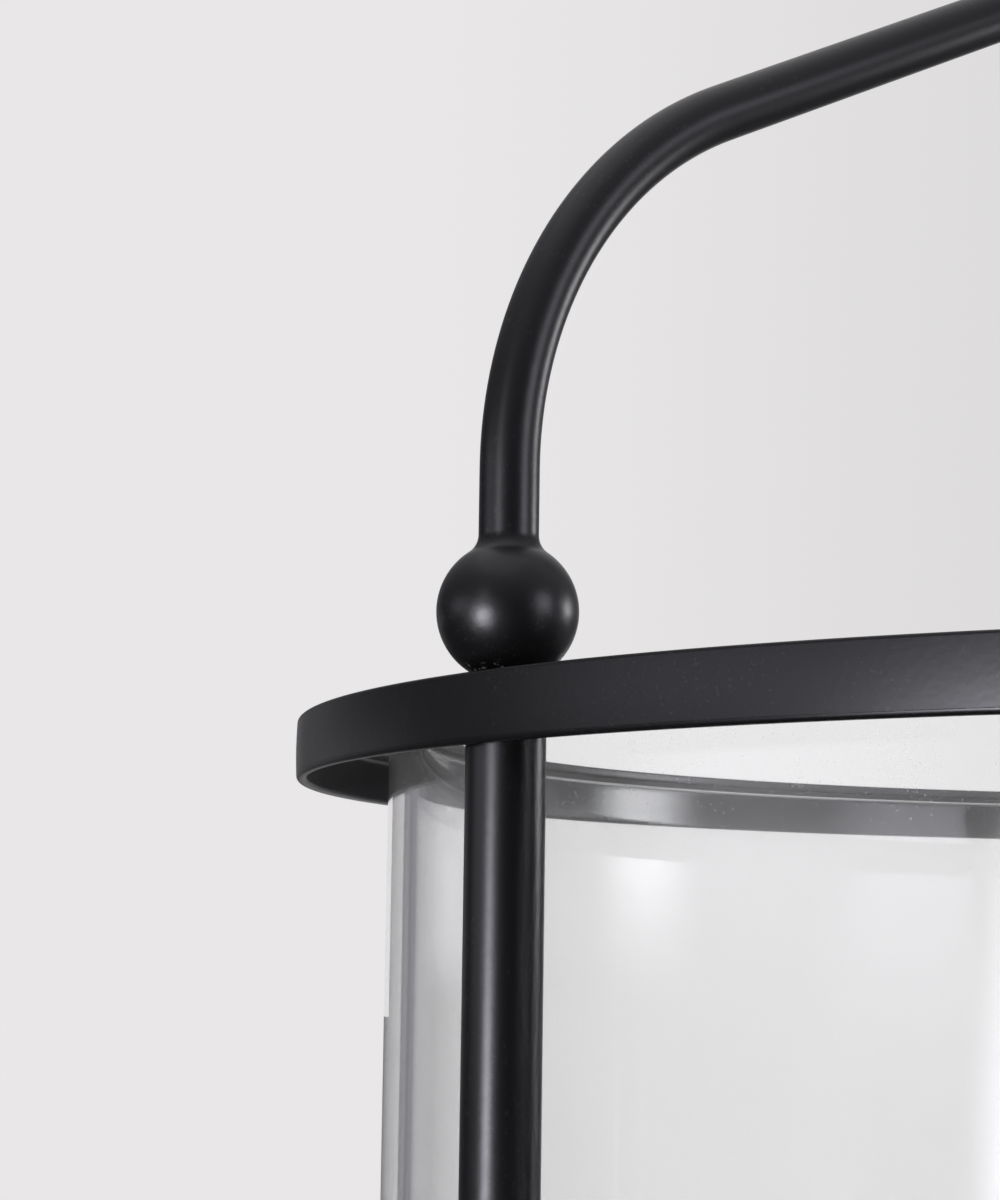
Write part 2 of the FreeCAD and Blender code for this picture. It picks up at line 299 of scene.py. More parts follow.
def coatFinish(seat):
    material, board = newFinish("satin_black_coat")
    place = board.place()
    clouds = board.noise(place, coatLook["cloudScale"], 3.0)
    peel = board.noise(place, coatLook["peelScale"], 2.0, 0.45)
    grain = board.noise(place, coatLook["grainScale"], 1.0)
    speck = board.noise(place, coatLook["speckScale"], 0.0) > coatLook["speckLevel"]
    speck = speck * (board.noise(place, coatLook["speckPatchScale"], 1.0) > 0.5)
    facing = board.axis(board.node("ShaderNodeNewGeometry", output="Normal"), "Z")
    dust = board.rise(facing, 0.6, 1.0) * board.rise(board.noise(place, coatLook["dustScale"], 4.0, 0.65), 0.5, 0.8)
    shade = board.blend(clouds * 0.6 + grain * 0.4, coatLook["dark"], coatLook["light"])
    dusty = (dust * coatLook["dustShare"] + speck * coatLook["speckShare"]).least(coatLook["dustMost"])
    shade = board.blend(dusty, shade, coatLook["dust"])
    # Flecks just above the seat: painted glints, light grey colour standing in for glints off weld spatter
    height = board.axis(place, "Z")
    rising, falling = (board.rise(height, seat + start, seat + end) for start, end in (
        coatLook["spatterGlintRise"], coatLook["spatterGlintFall"]))
    spatterGlint = rising * falling * (board.noise(place, coatLook["spatterGlintScale"], 1.0) > coatLook["spatterGlintLevel"])
    shade = board.blend(spatterGlint, shade, coatLook["spatterGlint"])
    rough = coatLook["roughLow"] + (coatLook["roughHigh"] - coatLook["roughLow"]) * clouds
    rough = rough + coatLook["roughPeel"] * (peel - 0.5) + coatLook["roughDust"] * dust
    normal = board.bump(peel, 0.5, coatLook["peelDepth"])
    normal = board.bump(grain, 0.4, coatLook["grainDepth"], normal)
    closeFinish(board, board.principled({
        "Base Color": shade, "Roughness": rough, "Specular IOR Level": coatLook["specular"],
        "Specular Tint": coatLook["sheen"], "Normal": normal}))
    return material


# Clear drawn glass: faint upright waves, ground rims, a thin film of haze, and dust caught under the ring
glassLook = {
    "tint": (0.982, 0.99, 0.992, 1), "shine": (0.5, 0.5, 0.52, 1), "ior": 1.46, "rough": 0.015, "hazeRough": 0.6,
    "rimFar": 0.0009, "rimNear": 0.0002, "rimRough": 0.5, "rimScale": 4200.0,
    "waveScale": 26.0, "waveStretch": (1.0, 1.0, 0.12), "waveDepth": 0.00006,
    "film": 0.08, "filmScale": 34.0, "filmEdge": (0.93, 0.78),
    "dustScale": 3300.0, "dustBand": 0.017, "dustFade": 0.006, "dustPatchScale": 110.0, "dustCount": 0.25,
    "dustSmall": 0.10, "dustSpread": 0.24, "dustHaze": 0.33,
}


def glassFinish(bottom, top):
    material, board = newFinish("clear_drawn_glass")
    place = board.place()
    height = board.axis(place, "Z")
    far, near = glassLook["rimFar"], glassLook["rimNear"]
    rim = board.rise(height, top - far, top - near) + board.rise(height, bottom + far, bottom + near)
    waves = board.noise(board.stretched(place, glassLook["waveStretch"]), glassLook["waveScale"], 1.0)
    ground = board.noise(place, glassLook["rimScale"], 2.0)
    normal = board.bump(waves + rim * ground * 0.6, 0.35, glassLook["waveDepth"])
    clear = board.principled({
        "Base Color": glassLook["tint"], "IOR": glassLook["ior"], "Transmission Weight": 1.0,
        "Roughness": (glassLook["rough"] + glassLook["rimRough"] * rim).least(glassLook["hazeRough"]),
        "Specular Tint": glassLook["shine"], "Normal": normal})
    haze = board.principled({
        "Base Color": glassLook["tint"], "IOR": glassLook["ior"], "Transmission Weight": 1.0,
        "Roughness": glassLook["hazeRough"]})
    cells = {"Vector": place, "Scale": glassLook["dustScale"]}
    reach = board.node("ShaderNodeTexVoronoi", values=cells, output="Distance")
    pick = board.node("ShaderNodeTexVoronoi", values=cells, output="Color")
    bandFoot = top - glassLook["dustBand"]
    inBand = board.rise(height, bandFoot, bandFoot + glassLook["dustFade"])
    patch = board.rise(board.noise(place, glassLook["dustPatchScale"], 2.0), 0.36, 0.6)
    chosen = board.axis(pick, "X") > (1.0 - glassLook["dustCount"] * inBand * patch)
    speck = chosen * (reach < glassLook["dustSmall"] + glassLook["dustSpread"] * board.axis(pick, "Y"))
    facing = board.node("ShaderNodeLayerWeight", values={"Blend": 0.5}, output="Facing")
    film = glassLook["film"] * (0.6 + 0.8 * board.noise(place, glassLook["filmScale"], 4.0, 0.6))
    film = film * board.rise(facing, *glassLook["filmEdge"])
    closeFinish(board, board.mixed(film + speck * glassLook["dustHaze"], clear, haze))
    return material


# Soft black rubber with a fine moulded grain
rubberLook = {"dark": (0.012, 0.012, 0.012, 1), "light": (0.028, 0.028, 0.027, 1), "grainScale": 1900.0,
              "grainDepth": 0.00002, "cloudScale": 120.0, "rough": 0.68, "specular": 0.35}


def rubberFinish():
    material, board = newFinish("black_rubber_soft")
    place = board.place()
    grain = board.noise(place, rubberLook["grainScale"], 2.0)
    clouds = board.noise(place, rubberLook["cloudScale"], 3.0)
    closeFinish(board, board.principled({
        "Base Color": board.blend(clouds, rubberLook["dark"], rubberLook["light"]),
        "Roughness": rubberLook["rough"] + 0.15 * grain, "Specular IOR Level": rubberLook["specular"],
        "Normal": board.bump(grain, 0.5, rubberLook["grainDepth"])}))
    return material


# Zinc-plated steel: turned marks round the axis and a faint warm haze
steelLook = {"cool": (0.56, 0.57, 0.58, 1), "warm": (0.64, 0.61, 0.54, 1), "hazeScale": 170.0, "rough": 0.26,
             "markScale": 2600.0, "markStretch": (0.05, 0.05, 1.0), "markDepth": 0.00001}


def steelFinish():
    material, board = newFinish("zinc_plated_steel")
    place = board.place()
    haze = board.noise(place, steelLook["hazeScale"], 3.0)
    marks = board.noise(board.stretched(place, steelLook["markStretch"]), steelLook["markScale"], 2.0)
    closeFinish(board, board.principled({
        "Base Color": board.blend(haze, steelLook["cool"], steelLook["warm"]), "Metallic": 1.0,
        "Roughness": steelLook["rough"] + 0.16 * haze + 0.08 * marks,
        "Normal": board.bump(marks, 0.25, steelLook["markDepth"])}))
    return material


# Ivory wax: soft clouds, a bloom of tiny crystals, a clearer melt pool in the dish and a little soot
waxLook = {
    "pale": (0.81, 0.75, 0.62, 1), "deep": (0.75, 0.67, 0.52, 1), "melt": (0.74, 0.64, 0.46, 1),
    "soot": (0.10, 0.085, 0.07, 1), "cloudScale": 42.0, "bloomScale": 900.0, "sootScale": 420.0, "depth": 0.0006,
    "dishRise": (0.004, 0.0035), "lipFade": 0.002, "meltFade": (0.030, 0.016), "shineFade": (0.030, 0.018),
    "sootFade": (0.009, 0.001), "sootShare": 0.7, "rough": 0.46, "meltGloss": 0.24,
    "scatter": 0.35, "scatterScale": 0.006, "scatterRadius": (1.0, 0.62, 0.32),
}


def waxFinish(top, lip):
    material, board = newFinish("ivory_wax")
    place = board.place()
    height = board.axis(place, "Z")
    out = board.length(board.node("ShaderNodeVectorMath", {"operation": "MULTIPLY"}, {0: place, 1: (1.0, 1.0, 0.0)}))
    clouds = board.noise(place, waxLook["cloudScale"], 4.0, 0.6)
    bloom = board.noise(place, waxLook["bloomScale"], 3.0, 0.6)
    inDish = board.rise(height, *(top - drop for drop in waxLook["dishRise"]))
    inDish = inDish * board.rise(out, lip, lip - waxLook["lipFade"])
    shade = board.blend(board.rise(clouds, 0.3, 0.75), waxLook["deep"], waxLook["pale"])
    shade = board.blend(inDish * board.rise(out, *waxLook["meltFade"]), shade, waxLook["melt"])
    soot = inDish * board.rise(out, *waxLook["sootFade"])
    soot = soot * board.rise(board.noise(place, waxLook["sootScale"], 3.0), 0.35, 0.7)
    shade = board.blend(soot * waxLook["sootShare"], shade, waxLook["soot"])
    rough = waxLook["rough"] + 0.12 * bloom - waxLook["meltGloss"] * inDish * board.rise(out, *waxLook["shineFade"])
    closeFinish(board, board.principled({
        "Base Color": shade, "Roughness": rough, "Subsurface Weight": waxLook["scatter"],
        "Subsurface Scale": waxLook["scatterScale"], "Subsurface Radius": waxLook["scatterRadius"],
        "Normal": board.bump(clouds * 0.7 + bloom * 0.12, 0.35, waxLook["depth"])}))
    return material


# Cotton wick: waxed pale strands that char towards the tip
wickLook = {"pale": (0.62, 0.55, 0.42, 1), "deep": (0.40, 0.33, 0.23, 1), "char": (0.012, 0.011, 0.010, 1),
            "strandScale": 2400.0, "strandStretch": (1.0, 1.0, 0.35), "strandDepth": 0.0001, "patchScale": 500.0,
            "ragged": 0.004, "charStart": 0.011, "charEnd": 0.004, "rough": 0.7}


def wickFinish(tip):
    material, board = newFinish("cotton_wick_waxed")
    place = board.place()
    strands = board.noise(board.stretched(place, wickLook["strandStretch"]), wickLook["strandScale"], 3.0)
    patch = board.noise(place, wickLook["patchScale"], 2.0)
    height = board.axis(place, "Z") + wickLook["ragged"] * patch
    burnt = board.rise(height, tip - wickLook["charStart"], tip - wickLook["charEnd"])
    shade = board.blend(strands, wickLook["deep"], wickLook["pale"])
    closeFinish(board, board.principled({
        "Base Color": board.blend(burnt, shade, wickLook["char"]), "Roughness": wickLook["rough"] + 0.2 * strands,
        "Normal": board.bump(strands, 0.7, wickLook["strandDepth"])}))
    return material


# Where things are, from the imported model
ringLow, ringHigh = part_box("upper_ring")
baseLow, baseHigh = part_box("base_pan")
glassLow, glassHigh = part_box("glass_chimney")
candleLow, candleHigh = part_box("candle")
wickLow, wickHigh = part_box("wick")
hubLow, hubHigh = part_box("crown_hub")
ballLow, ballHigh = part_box("post_ball_1")
postLow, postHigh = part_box("post_1")
footLow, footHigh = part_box("foot_ball_1")
ringHinge = next(joint for joint in frame["joints"] if joint["child"] == "carry_ring")
postCount = 3
postAngles = [math.radians(-90 + 360 / postCount * k) for k in range(postCount)]
candleLip = 0.041

coat = coatFinish(ringHigh.z)
glass = glassFinish(glassLow.z, glassHigh.z)
rubber = rubberFinish()
steel = steelFinish()
wax = waxFinish(candleHigh.z, candleLip)
cotton = wickFinish(wickHigh.z)
print("finishes ready")


# Upper ring: rolled angle section, band outside and flange inside
ringShape = {"radius": 0.150, "sheet": 0.0015, "flange": 0.0165, "edge": 0.0004, "foot": 0.00058, "bend": 0.0007,
             "crown": 0.00012, "faceReach": 0.85, "faceRows": 13, "sides": 512}


def ringSkin():
    outer = ringShape["radius"]
    inner = outer - ringShape["sheet"]
    opening = outer - ringShape["flange"]
    under = ringHigh.z - ringShape["sheet"]
    edge, foot, bend, crown = ringShape["edge"], ringShape["foot"], ringShape["bend"], ringShape["crown"]
    half = (ringHigh.z - ringLow.z) / 2
    reach, rows = ringShape["faceReach"], ringShape["faceRows"]
    lift = np.linspace(-reach, reach, rows)[:, None]  # the rolled face bulges by crown (1 - lift squared)
    face = np.hstack([outer - crown * lift ** 2, ringLow.z + half * (1 + lift)])
    outline = roundedOutline(
        [(opening, under), (inner, under), (inner, ringLow.z), (outer - crown, ringLow.z), *face,
         (outer - crown, ringHigh.z), (opening, ringHigh.z)],
        [edge, bend, foot, foot, *[0] * rows, edge, edge])
    return skin(spun(outline, ringShape["sides"]), True)


addPiece("upper_ring", [ringSkin()], coat)

# Posts
postShape = {"circle": 0.1438, "radius": 0.0045, "edge": 0.0003, "sides": 72}


def atPost(number):
    angle = postAngles[number]
    return postShape["circle"] * math.cos(angle), postShape["circle"] * math.sin(angle)


# Upright rod with softened ends
def rodSkin(shape, bottom, top, centre):
    radius, edge = shape["radius"], shape["edge"]
    outline = roundedOutline([(0, bottom), (radius, bottom), (radius, top), (0, top)], [0, edge, edge, 0], False)
    return skin(spun(outline, shape["sides"], centre), False)


for number in range(postCount):
    addPiece(f"post_{number + 1}", [rodSkin(postShape, postLow.z, postHigh.z, atPost(number))], coat)

# Balls on the ring: flat seat, sphere, and a concave fillet that runs into the arm's diameter
ballShape = {"radius": 0.008, "seat": 0.0035, "fillet": 0.0025, "neck": 0.0034, "rows": 56, "neckRows": 13,
             "sides": 96}


# Part of a circle from angle to angle: r = out + radius cos a, z = up + radius sin a
def arcRows(out, up, radius, start, end, rows):
    swing = np.linspace(start, end, rows)[:, None]
    return np.hstack([out + radius * np.cos(swing), up + radius * np.sin(swing)])


def ballOutline():
    radius, fillet = ballShape["radius"], ballShape["fillet"]
    centre = ballLow.z + math.sqrt(radius ** 2 - ballShape["seat"] ** 2)
    blendOut = ballShape["neck"] + fillet
    blendUp = math.sqrt((radius + fillet) ** 2 - blendOut ** 2)
    low = -math.acos(ballShape["seat"] / radius)
    high = math.atan2(blendUp, blendOut)
    sphere = arcRows(0, centre, radius, low, high, ballShape["rows"])
    neck = arcRows(blendOut, centre + blendUp, fillet, high + math.pi, math.pi, ballShape["neckRows"] + 1)[1:]
    return np.concatenate([[(0, ballLow.z)], sphere, neck, [(0, ballHigh.z)]])


for number in range(postCount):
    ball = skin(spun(ballOutline(), ballShape["sides"], atPost(number)), False)
    addPiece(f"post_ball_{number + 1}", [ball], coat)

# Arms: a straight rise, a shoulder bend inwards, a straight run, and a bend back up into the hub
armShape = {"radius": 0.0034, "rise": 0.007531, "shoulder": 0.051, "crown": 0.060, "turn": 65.0, "hubCircle": 0.012,
            "tail": 0.0105, "riseRows": 5, "bendRows": 45, "runRows": 8, "tailRows": 4, "sides": 56}


def armPath():
    turn = math.radians(armShape["turn"])
    start = ballHigh.z
    bend = start + armShape["rise"]
    sweep = np.linspace(0, turn, armShape["bendRows"])
    shoulderOut = postShape["circle"] - armShape["shoulder"] * (1 - np.cos(sweep))
    shoulderUp = bend + armShape["shoulder"] * np.sin(sweep)
    back = sweep[::-1]
    crownOut = armShape["hubCircle"] + armShape["crown"] * (1 - np.cos(back))
    crownFoot = shoulderUp[-1] + (shoulderOut[-1] - crownOut[0]) / math.tan(turn)
    crownUp = crownFoot + armShape["crown"] * (math.sin(turn) - np.sin(back))
    shoulder, crown = np.stack([shoulderOut, shoulderUp], axis=1), np.stack([crownOut, crownUp], axis=1)
    foot = start + armShape["rise"] * np.linspace(0, 1, armShape["riseRows"], endpoint=False)
    foot = np.stack([np.full(len(foot), postShape["circle"]), foot], axis=1)
    share = np.linspace(0, 1, armShape["runRows"] + 2)[1:-1, None]
    run = shoulder[-1] + share * (crown[0] - shoulder[-1])
    tail = np.linspace(crownUp[-1], crownUp[-1] + armShape["tail"], armShape["tailRows"] + 1)[1:]
    tail = np.stack([np.full(len(tail), armShape["hubCircle"]), tail], axis=1)
    return np.concatenate([foot, shoulder, run, crown, tail])


def armSkin(number):
    angle = postAngles[number]
    path = armPath()
    line = np.stack([path[:, 0] * math.cos(angle), path[:, 0] * math.sin(angle), path[:, 1]], axis=1)
    side = np.array([-math.sin(angle), math.cos(angle), 0.0])
    return skin(carried(line, side, armShape["radius"], armShape["sides"]), False)


for number in range(postCount):
    addPiece(f"arm_{number + 1}", [armSkin(number)], coat)
print("ring, posts, balls and arms made")

# Crown hub: turned boss with softened edges
hubShape = {"radius": 0.0199, "round": 0.0025, "roundSteps": 10, "sides": 128}
outline = roundedOutline(
    [(0, hubLow.z), (hubShape["radius"], hubLow.z), (hubShape["radius"], hubHigh.z), (0, hubHigh.z)],
    [0, hubShape["round"], hubShape["round"], 0], False, hubShape["roundSteps"])
addPiece("crown_hub", [skin(spun(outline, hubShape["sides"]), False)], coat)

# Finial eye: a wire eye on a collar, and the shank through the hub
eyeShape = {"mean": 0.00535, "wire": 0.0025, "around": 96, "sides": 40, "collar": 0.0065, "collarHeight": 0.0025,
            "collarEdge": 0.0006, "collarFoot": 0.0002, "shank": 0.003, "shankEdge": 0.0005, "collarSides": 64}
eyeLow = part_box("finial_eye")[0]
eyeCentre = np.array(ringHinge["pos_m"])


# Torus: point = centre + (mean + wire cos b)(cos a first + sin a second) + wire sin b third. The wire swells in a
# small bead over the weld's span, opposite first.
def loopSkin(centre, first, second, shape, swell=0.0, span=1.0):
    a = np.linspace(0, 2 * np.pi, shape["around"], endpoint=False)
    wire = shape["wire"] + swell * np.exp(-((a - np.pi) / span) ** 2)
    outward = np.cos(a)[:, None] * first + np.sin(a)[:, None] * second
    line = centre + shape["mean"] * outward
    b = np.linspace(0, 2 * np.pi, shape["sides"], endpoint=False)[None, :, None]
    third = np.cross(first, second)
    grid = line[:, None] + wire[:, None, None] * (np.cos(b) * outward[:, None] + np.sin(b) * third)
    return skin(grid, True)


acrossX, acrossY, upward = np.eye(3)
eyeLoop = loopSkin(eyeCentre, upward, acrossY, eyeShape)
collarTop = hubHigh.z + eyeShape["collarHeight"]
outline = roundedOutline(
    [(0, eyeLow.z), (eyeShape["shank"], eyeLow.z), (eyeShape["shank"], hubHigh.z), (eyeShape["collar"], hubHigh.z),
     (eyeShape["collar"], collarTop), (0, collarTop)],
    [0, eyeShape["shankEdge"], 0, eyeShape["collarFoot"], eyeShape["collarEdge"], 0], False)
addPiece("finial_eye", [eyeLoop, skin(spun(outline, eyeShape["collarSides"]), False)], coat)

# Carry ring: welded wire ring, drooped on the hub's edge
carryShape = {"mean": 0.028, "wire": 0.0025, "weldSwell": 0.00018, "weldSpan": 0.045, "around": 192, "sides": 36}
carryLow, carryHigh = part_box("carry_ring")
droop = math.asin((eyeCentre[2] - (carryLow.z + carryHigh.z) / 2) / carryShape["mean"])
towards = np.array([0.0, math.cos(droop), -math.sin(droop)])
carryCentre = eyeCentre + carryShape["mean"] * towards
addPiece("carry_ring", [loopSkin(carryCentre, -towards, acrossX, carryShape, carryShape["weldSwell"],
                                 carryShape["weldSpan"])], coat)

# Hexagon nuts: flat is half the width across the flats
nutShape = {"chamfer": 0.12, "face": 0.96, "corner": 1.16, "rows": 5, "sides": 144, "smoothAngle": 25}
nutSizes = {"finial_nut": {"flat": 0.005, "hole": 0.0031}, "spike_nut": {"flat": 0.004, "hole": 0.0026}}


# Nut: the wall's distance is flat / cos(angle from the flat's middle), held inside a chamfer cone
def nutSkin(flat, hole, low, high):
    a = np.linspace(0, 2 * np.pi, nutShape["sides"], endpoint=False)
    wall = flat / np.cos(a % (np.pi / 3) - np.pi / 6)
    chamfer = (high - low) * nutShape["chamfer"]
    face, corner = flat * nutShape["face"], flat * nutShape["corner"]
    turns = np.array([(hole, low), (face, low), (corner, low + chamfer), (corner, high - chamfer), (face, high),
                      (hole, high)])
    share = np.linspace(0, 1, nutShape["rows"], endpoint=False)[:, None]
    rows = ((1 - share) * turns[:-1, None] + share * turns[1:, None]).reshape(-1, 2)
    r = np.minimum(rows[:, :1], wall)
    return skin(np.stack([r * np.cos(a), r * np.sin(a), rows[:, 1:] + 0 * a], axis=-1), True)


for node, size in nutSizes.items():
    nutLow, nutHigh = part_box(node)
    nut = nutSkin(size["flat"], size["hole"], nutLow.z, nutHigh.z)
    addPiece(node, [nut], steel, nutShape["smoothAngle"])
print("crown made")

# Base pan, feet and pads
baseShape = {"radius": 0.155, "sheet": 0.0015, "edge": 0.0004, "shoulder": 0.0008, "bend": 0.0007, "sides": 384}
baseUnder = baseHigh.z - baseShape["sheet"]
baseInner = baseShape["radius"] - baseShape["sheet"]
outline = roundedOutline(
    [(0, baseUnder), (baseInner, baseUnder), (baseInner, baseLow.z), (baseShape["radius"], baseLow.z),
     (baseShape["radius"], baseHigh.z), (0, baseHigh.z)],
    [0, baseShape["bend"], baseShape["edge"], baseShape["edge"], baseShape["shoulder"], 0], False)
addPiece("base_pan", [skin(spun(outline, baseShape["sides"]), False)], coat)

footShape = {"radius": 0.008, "flat": 0.005, "seat": 0.0035, "rows": 60, "sides": 80}
footMiddle = footLow.z + math.sqrt(footShape["radius"] ** 2 - footShape["flat"] ** 2)
footSphere = arcRows(0, footMiddle, footShape["radius"], -math.acos(footShape["flat"] / footShape["radius"]),
                     math.acos(footShape["seat"] / footShape["radius"]), footShape["rows"])
footOutline = np.concatenate([[(0, footLow.z)], footSphere, [(0, footHigh.z)]])
for number in range(postCount):
    addPiece(f"foot_ball_{number + 1}", [skin(spun(footOutline, footShape["sides"], atPost(number)), False)], coat)

padShape = {"radius": 0.005, "edge": 0.0005, "sides": 64}
padLow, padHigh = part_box("foot_pads")
pads = [rodSkin(padShape, padLow.z, padHigh.z, atPost(number)) for number in range(postCount)]
addPiece("foot_pads", pads, rubber)


# Plain ring of rectangular section with softened edges
def hoopSkin(shape, low, high):
    inner, outer = shape["inner"], shape["outer"]
    outline = roundedOutline([(inner, low), (outer, low), (outer, high), (inner, high)], [shape["edge"]] * 4)
    return skin(spun(outline, shape["sides"]), True)


# Glass cylinder with softened rims, the gasket under it and the collar round its foot
glassShape = {"inner": 0.1336, "outer": 0.1375, "edge": 0.0007, "sides": 512}
gasketShape = {"inner": 0.1324, "outer": 0.1375, "edge": 0.0004, "sides": 384}
collarShape = {"inner": 0.1378, "outer": 0.1386, "edge": 0.00025, "sides": 384}
for node, shape, finish in (("glass_chimney", glassShape, glass), ("glass_gasket", gasketShape, rubber),
                            ("glass_collar", collarShape, coat)):
    hoopLow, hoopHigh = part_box(node)
    addPiece(node, [hoopSkin(shape, hoopLow.z, hoopHigh.z)], finish)
print("base and glass made")

# Candle pan with a flared rim
panShape = {"rim": 0.070, "flare": 0.004, "sheet": 0.0012, "edge": 0.00045, "bend": 0.0016, "bendInside": 0.00096,
            "sides": 256}
panLow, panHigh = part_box("candle_pan")
panFoot = panShape["rim"] - panShape["flare"]
panFloor = panLow.z + panShape["sheet"]
outline = roundedOutline(
    [(0, panLow.z), (panFoot, panLow.z), (panShape["rim"], panHigh.z),
     (panShape["rim"] - panShape["sheet"], panHigh.z), (panFoot - panShape["sheet"] / 2, panFloor), (0, panFloor)],
    [0, panShape["bend"], panShape["edge"], panShape["edge"], panShape["bendInside"], 0], False)
addPiece("candle_pan", [skin(spun(outline, panShape["sides"]), False)], coat)

# Spike, with a flange that holds the pan down, and its washer
spikeShape = {"radius": 0.0025, "tip": 0.0004, "flange": 0.008, "flangeHeight": 0.002, "endEdge": 0.0004,
              "flangeFoot": 0.0002, "flangeEdge": 0.0005, "root": 0.0006, "tipEdge": 0.0002, "sides": 64}
spikeLow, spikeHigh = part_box("candle_spike")
flangeTop = panFloor + spikeShape["flangeHeight"]
outline = roundedOutline(
    [(0, spikeLow.z), (spikeShape["radius"], spikeLow.z), (spikeShape["radius"], panFloor),
     (spikeShape["flange"], panFloor), (spikeShape["flange"], flangeTop), (spikeShape["radius"], flangeTop),
     (spikeShape["tip"], spikeHigh.z), (0, spikeHigh.z)],
    [0, spikeShape["endEdge"], 0, spikeShape["flangeFoot"], spikeShape["flangeEdge"], spikeShape["root"],
     spikeShape["tipEdge"], 0], False)
addPiece("candle_spike", [skin(spun(outline, spikeShape["sides"]), False)], steel)
washerShape = {"inner": 0.0027, "outer": 0.009, "edge": 0.0002, "sides": 96}
washerLow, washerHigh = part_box("spike_washer")
addPiece("spike_washer", [hoopSkin(washerShape, washerLow.z, washerHigh.z)], steel)

# Candle: slightly uneven wall and lip, a shallow dish burnt into the top, and a hole for the spike
candleShape = {"radius": 0.050, "lip": candleLip, "round": 0.0022, "roundSteps": 8, "dish": 0.003, "dishRows": 39,
               "spikeGap": 0.0004, "holeEdge": 0.0006, "footEdge": 0.0008, "uneven": 0.00022, "still": 0.02,
               "sides": 256}


# Candle wall: spun outline, with r and z moved by slow sine waves round the axis that fade towards the foot, and
# towards the axis inside the still radius
def candleSkin():
    radius, lip, low, high = candleShape["radius"], candleShape["lip"], candleLow.z, candleHigh.z
    gap, dishDepth, uneven = candleShape["spikeGap"], candleShape["dish"], candleShape["uneven"]
    dishRadius = (lip ** 2 + dishDepth ** 2) / (2 * dishDepth)
    out = np.linspace(lip, 0, candleShape["dishRows"] + 1)[:-1, None]
    dish = np.hstack([out, high - dishDepth + dishRadius - np.sqrt(dishRadius ** 2 - out ** 2)])
    hole, seat = spikeShape["flange"] + gap, flangeTop + gap
    wall = roundedOutline(
        [(0, spikeHigh.z + gap), (spikeShape["radius"] + gap, seat), (hole, seat), (hole, low), (radius, low),
         (radius, high), (lip, high)],
        [0, 0, 0, candleShape["holeEdge"], candleShape["footEdge"], candleShape["round"], 0], False,
        candleShape["roundSteps"])
    grid = spun(np.concatenate([wall, dish, [(0, high - dishDepth)]]), candleShape["sides"])
    turn = np.arctan2(grid[..., 1], grid[..., 0])
    reach = np.hypot(grid[..., 0], grid[..., 1])
    share = np.clip((grid[..., 2] - low) / (high - low), 0, 1) ** 2
    share *= np.clip(reach / candleShape["still"] - 1, 0, 1)
    wave = np.sin(3 * turn + 0.7) + 0.6 * np.sin(5 * turn + 2.1) + 0.4 * np.sin(11 * turn + 4.0)
    drop = 0.5 * (1 + np.sin(2 * turn + 1.1)) + 0.25 * (1 + np.sin(7 * turn))
    grid[..., :2] *= (1 - uneven / radius * share * (wave + 2) / 4)[..., None]
    grid[..., 2] -= uneven * 2 * share * drop
    return skin(grid, False)


addPiece("candle", [candleSkin()], wax)

# Wick: braided cotton, r = radius (1 + strand (sin(3a + kz) + sin(3a - kz))), leaning a little near the tip
wickShape = {"radius": 0.00108, "strand": 0.05, "pitch": 0.0042, "lean": 0.0001, "tip": 0.0012, "tipShare": 0.15,
             "rows": 120, "sides": 36, "smoothAngle": 180}


def wickSkin():
    z = np.linspace(wickLow.z, wickHigh.z, wickShape["rows"])
    a = np.linspace(0, 2 * np.pi, wickShape["sides"], endpoint=False)
    k = 2 * np.pi / wickShape["pitch"]
    weave = np.sin(3 * a + k * z[:, None]) + np.sin(3 * a - k * z[:, None])
    taper = np.clip((wickHigh.z - z) / wickShape["tip"], wickShape["tipShare"], 1) ** 0.5
    radius = wickShape["radius"] * taper[:, None] * (1 + wickShape["strand"] * weave)
    lean = wickShape["lean"] * np.clip((z - candleHigh.z) / (wickHigh.z - candleHigh.z), 0, 1) ** 2
    return skin(np.stack([lean[:, None] + radius * np.cos(a), radius * np.sin(a), z[:, None] + 0 * a], axis=-1), False)


addPiece("wick", [wickSkin()], cotton, wickShape["smoothAngle"])
print("candle made")

# CAD nodes that stay: studs and screws
for node in ("ring_studs", "foot_studs", "hub_grub_screws"):
    nodes[node].data.materials.clear()
    nodes[node].data.materials.append(steel)

# Stage: pale floor that runs into the backdrop's colour
stageLook = {
    "floor": (0.78, 0.775, 0.78, 1), "floorLight": (0.80, 0.795, 0.80, 1), "floorScale": 3.0,
    "floorRings": (0.02, 0.3, 0.7, 1.2, 1.8, 2.6), "floorSides": 96, "pale": (0.77, 0.757, 0.762, 1),
    "paleShare": 0.5, "paleRise": (0.5, 2.2), "left": (0.815, 0.800, 0.807, 1), "right": (0.722, 0.709, 0.714, 1),
    "leftToRight": (-0.06, 0.22), "fill": (1, 1, 1, 1), "fillStrength": 0.95, "throughGlass": 1.18,
}


# 1 for rays from the camera, and for those that metal and glass send on
def seen(board):
    return (board.path("Is Camera Ray") + board.path("Is Glossy Ray") + board.path("Is Transmission Ray")).least(1.0)


def floorFinish():
    material, board = newFinish("pale_floor")
    place = board.place()
    shade = board.blend(board.noise(place, stageLook["floorScale"], 3.0), stageLook["floor"], stageLook["floorLight"])
    matt = board.node("ShaderNodeBsdfDiffuse", values={"Color": shade})
    lit = stageLook["paleShare"]  # the rest keeps the object's shadow
    share = seen(board) * (lit + (1 - lit) * board.rise(board.length(place), *stageLook["paleRise"]))
    closeFinish(board, board.mixed(share, matt, board.glow(stageLook["pale"])))
    return material


def stageObject(name, points, faces, finish):
    mesh = bpy.data.meshes.new(name)
    mesh.from_pydata(points, [], faces)
    mesh.materials.append(finish)
    made = bpy.data.objects.new(name, mesh)
    scene.collection.objects.link(made)
    return made


